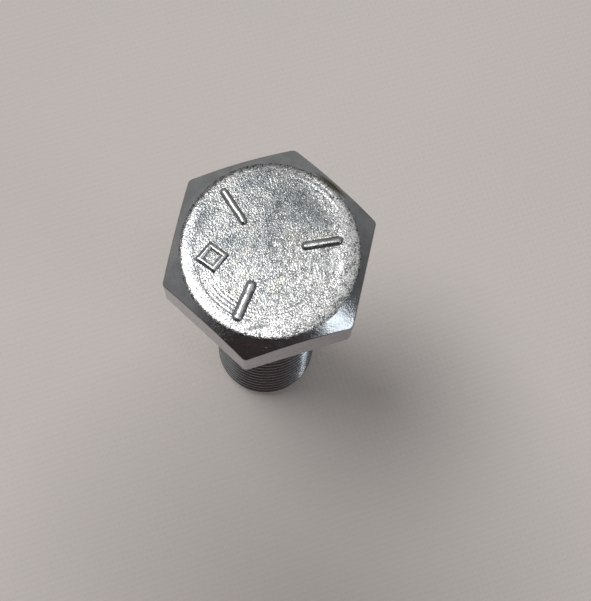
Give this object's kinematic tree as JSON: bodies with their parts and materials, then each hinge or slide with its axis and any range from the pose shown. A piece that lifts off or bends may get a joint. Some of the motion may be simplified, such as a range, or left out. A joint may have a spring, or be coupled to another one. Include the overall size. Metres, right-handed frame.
{
  "type": "hex bolt",
  "caption": "Hexagon head bolt with a chamfered top, washer face, plain shank and right-hand threaded end, for clamping parts together.",
  "frame": {"origin": "centre of the bearing face under the head", "axes": "+Z along the bolt's axis from the tip towards the head; +X through a corner of the hexagon; +Y square to a flat"},
  "size_m": [0.0218, 0.019, 0.0525],
  "materials": {
    "zinc_head": "bright zinc plate, grainy top, worn",
    "zinc_shank": "bright zinc plate, smooth",
    "zinc_mark": "bright zinc plate, pressed, darker at the edges"
  },
  "bodies": {
    "root": {"head": "zinc_head", "washer_face": "zinc_head", "shank": "zinc_shank", "thread": "zinc_shank", "grade_line_1": "zinc_mark", "grade_line_2": "zinc_mark", "grade_line_3": "zinc_mark", "face_mark": "zinc_mark"}
  },
  "joints": []
}
